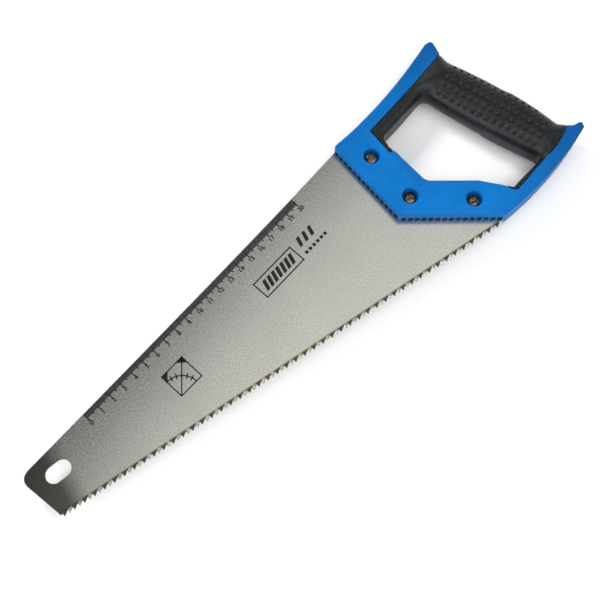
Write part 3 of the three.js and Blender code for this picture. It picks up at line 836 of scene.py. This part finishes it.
# Thermoplastic rubber: near black, satin where hands have polished it, with a faint moulded grain
rubber = bpy.data.materials.new("thermoplastic_rubber")
rubber.use_nodes = True
tree = rubber.node_tree
surface = tree.nodes["Principled BSDF"]
surface.inputs["IOR"].default_value = 1.5
surface.inputs["Specular IOR Level"].default_value = 0.3
where = add(tree, "TexCoord", {}).outputs["Object"]
SKIN = 0.8  # mm; the moulded grain
HANDLING = 9.0  # mm; where dust stays and where hands polish
skin = add(tree, "TexNoise", {"Vector": where, "Scale": 1000 / SKIN, "Detail": 3.0})
dust = add(tree, "TexNoise", {"Vector": where, "Scale": 1000 / HANDLING, "Detail": 4.0, "Roughness": 0.65})
dusty = add(tree, "MapRange", {0: dust.outputs[0], 1: 0.35, 2: 0.75})
tone = add(tree, "Mix", {0: dusty.outputs[0], 6: linear("#0d0f11"), 7: linear("#191c1f")}, data_type="RGBA")
tree.links.new(tone.outputs[2], surface.inputs["Base Color"])
RUBBER_LOW, RUBBER_HIGH = 0.32, 0.42
gloss = add(tree, "MapRange", {0: dust.outputs[0], 1: NOISE_LOW, 2: NOISE_HIGH, 3: RUBBER_LOW, 4: RUBBER_HIGH})
tree.links.new(gloss.outputs[0], surface.inputs["Roughness"])
texture = add(tree, "Bump", {"Strength": 0.15, "Distance": 0.0001, "Height": skin.outputs[0]})
tree.links.new(texture.outputs[0], surface.inputs["Normal"])
grip.data.materials.append(rubber)

# ---- Screws and nuts ------------------------------------------------------------------------------------
# Bronzed steel: pan-head screws with a cross recess on the front, and slotted barrel nuts on the back,
# which pass through the handle and the blade and meet the screws' shanks.
HEAD_RADIUS, HEAD_HEIGHT, NUT_HEIGHT = 4.45, 2.6, 2.2
SHANK_RADIUS, BARREL_RADIUS = 1.9, 3.2
RECESS_REACH, RECESS_WIDTH, RECESS_DEPTH = 2.5, 1.15, 1.5
RECESS_TURN, SLOT_TURN = math.radians(20), math.radians(65)
AROUND, HEAD_ROWS = 96, 46
AXIS = 0.02  # radius at which a turned piece is closed by a small flat
CROWN = 0.42  # share of a head's height that its top falls by
RECESS_TAPER = 0.45


def dome(radius, height):
    """A pan head's top: flat in the middle, falling as the fourth power of the radius to its shoulder."""
    return height - CROWN * height * (radius / HEAD_RADIUS) ** 4


def groove(u, v, reach, width):
    """1 inside a slot of that reach and width, with sides that are a tenth of a millimetre or two wide."""
    return ease((reach - np.abs(u)) / 0.3) * ease((width / 2 - np.abs(v)) / 0.22 + 0.5)


def fastener(name, place, side, height, stem_radius, stem_end, turn, cross):
    """A turned piece on a grid of radius and angle: head top with its driving recess, shoulder, side, seat,
    and stem. side is +1 for the front and -1 for the back; heights are measured from the seat."""
    top_r = np.linspace(AXIS, HEAD_RADIUS, HEAD_ROWS)
    rest = [(HEAD_RADIUS + 0.03, 0.5 * height), (HEAD_RADIUS, 0.12), (HEAD_RADIUS - 0.12, 0),
            (stem_radius + 0.1, 0), (stem_radius, -0.1), (stem_radius, stem_end + 0.3),
            (stem_radius - 0.3, stem_end), (AXIS, stem_end)]
    radius = np.concatenate([top_r, [r for r, z in rest]])
    level = np.concatenate([dome(top_r, height), [z for r, z in rest]])
    angle = np.linspace(0, 2 * math.pi, AROUND, endpoint=False)
    u, v = radius[:, None] * np.cos(angle - turn), radius[:, None] * np.sin(angle - turn)
    if cross:
        first, second = groove(u, v, RECESS_REACH, RECESS_WIDTH), groove(v, u, RECESS_REACH, RECESS_WIDTH)
        mask = np.maximum(first, second)
        depth = RECESS_DEPTH * (1 - RECESS_TAPER * radius[:, None] / RECESS_REACH)
    else:
        mask, depth = groove(u, v, HEAD_RADIUS + 1, RECESS_WIDTH), RECESS_DEPTH - 0.3
    on_head = (np.arange(len(radius)) < len(top_r))[:, None]
    z = level[:, None] - np.where(on_head, np.maximum(depth, 0) * mask, 0)
    seat = SEAT + FIT
    x = place[0] + radius[:, None] * np.cos(angle)
    y = place[1] + side * radius[:, None] * np.sin(angle)
    grid = np.stack([x, y, side * (seat + z)], -1).reshape(-1, 3)
    rows = np.arange(len(radius))[:-1, None] * AROUND
    cols = np.arange(AROUND)
    a, b = rows + cols, rows + np.roll(cols, -1)
    faces = np.stack([a, a + AROUND, b + AROUND, b], -1).reshape(-1, 4).tolist()
    last = (len(radius) - 1) * AROUND
    faces += [cols.tolist(), (last + cols[::-1]).tolist()]
    made = piece(name, grid, faces, sharp=math.radians(50))
    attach(made, "root")
    return made


# Bronzed steel: a dark brown chemical finish over steel, uneven in tone and fairly glossy
bronze = bpy.data.materials.new("bronzed_steel")
bronze.use_nodes = True
tree = bronze.node_tree
surface = tree.nodes["Principled BSDF"]
surface.inputs["Metallic"].default_value = 0.9
where = add(tree, "TexCoord", {}).outputs["Object"]
PATCH = 2.2  # mm
patch = add(tree, "TexNoise", {"Vector": where, "Scale": 1000 / PATCH, "Detail": 4.0})
patchy = add(tree, "MapRange", {0: patch.outputs[0], 1: 0.35, 2: 0.65})
tone = add(tree, "Mix", {0: patchy.outputs[0], 6: linear("#4a3a2f"), 7: linear("#7d7064")},
           data_type="RGBA")
tree.links.new(tone.outputs[2], surface.inputs["Base Color"])
FINISH_LOW, FINISH_HIGH = 0.18, 0.3
gloss = add(tree, "MapRange", {0: patch.outputs[0], 1: NOISE_LOW, 2: NOISE_HIGH, 3: FINISH_LOW, 4: FINISH_HIGH})
tree.links.new(gloss.outputs[0], surface.inputs["Roughness"])

SHANK_END = 1 - 2 * SEAT
BARREL_END = -2 * SEAT - FIT + 0.01
for where_at, place in SCREWS.items():
    front = fastener(f"{where_at}_screw", place, 1, HEAD_HEIGHT, SHANK_RADIUS, SHANK_END, RECESS_TURN, True)
    rear = fastener(f"{where_at}_nut", place, -1, NUT_HEIGHT, BARREL_RADIUS, BARREL_END, SLOT_TURN, False)
    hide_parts(f"screw_{where_at}")
    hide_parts(f"nut_{where_at}")
    front.data.materials.append(bronze)
    rear.data.materials.append(bronze)

# ---- Studio ---------------------------------------------------------------------------------------------
# A white floor and soft light: two banks overhead, one from the toe side, a smaller key light from behind
# the back edge, and a pale surround.
FLOOR = 9.0  # metres from the middle to a side
floor_mesh = bpy.data.meshes.new("floor")
corners = [(-FLOOR, -FLOOR, 0), (FLOOR, -FLOOR, 0), (FLOOR, FLOOR, 0), (-FLOOR, FLOOR, 0)]
floor_mesh.from_pydata(corners, [], [(0, 1, 2, 3)])
floor = bpy.data.objects.new("floor", floor_mesh)
bpy.context.scene.collection.objects.link(floor)
paper = bpy.data.materials.new("white_paper")
paper.use_nodes = True
paper.node_tree.nodes["Principled BSDF"].inputs["Base Color"].default_value = linear("#f7f7f7")
paper.node_tree.nodes["Principled BSDF"].inputs["Roughness"].default_value = 0.9
floor_mesh.materials.append(paper)


def softbox(name, centre, aim, width, length, power, turn=0.0):
    """A rectangular light at a place in metres, facing the aim and turned about its own axis."""
    data = bpy.data.lights.new(name, "AREA")
    data.shape, data.size, data.size_y, data.energy = "RECTANGLE", width, length, power
    lamp = bpy.data.objects.new(name, data)
    facing = (Vector(aim) - Vector(centre)).to_track_quat("-Z", "Y").to_matrix().to_4x4()
    lamp.matrix_world = Matrix.Translation(centre) @ facing @ Matrix.Rotation(turn, 4, "Z")
    bpy.context.scene.collection.objects.link(lamp)


# The blade mirrors only the overhead bank, whose far side runs along the blade's back edge in the mirror.
BACK_EDGE_TURN = math.radians(18)
softbox("overhead_bank", centre=(0.213, 0.05, 1.2), aim=(0.213, 0.05, 0), width=1.17, length=0.66,
        power=2.75, turn=BACK_EDGE_TURN)
softbox("front_bank", centre=(0.1, -0.55, 1.2), aim=(0.1, -0.55, 0), width=1.4, length=0.6, power=10)
softbox("toe_side_bank", centre=(-1.3, -0.2, 0.9), aim=(0, 0, 0), width=0.8, length=1.2, power=8)
softbox("back_key", centre=(-0.1, 1.25, 1.0), aim=(0.1, 0, 0), width=0.4, length=0.4, power=12)

# The surround is bright low down, where white walls stand, and dark overhead, where the ceiling is. The
# change lies between these upward parts of the direction.
WALL_LIGHT, CEILING_LIGHT = 0.95, 0.05
WALL_TOP, CEILING_FROM = 0.5, 0.86
world = bpy.data.worlds.new("surround")
world.use_nodes = True
tree = world.node_tree
sky = tree.nodes["Background"]
sky.inputs["Color"].default_value = linear("#ffffff")
way = add(tree, "TexCoord", {}).outputs["Generated"]
rise = add(tree, "SeparateXYZ", {0: way}).outputs[2]
fade = add(tree, "MapRange", {0: rise, 1: WALL_TOP, 2: CEILING_FROM, 3: WALL_LIGHT, 4: CEILING_LIGHT},
           interpolation_type="SMOOTHSTEP")
tree.links.new(fade.outputs[0], sky.inputs["Strength"])
bpy.context.scene.world = world
bpy.context.scene.view_settings.view_transform = "Standard"
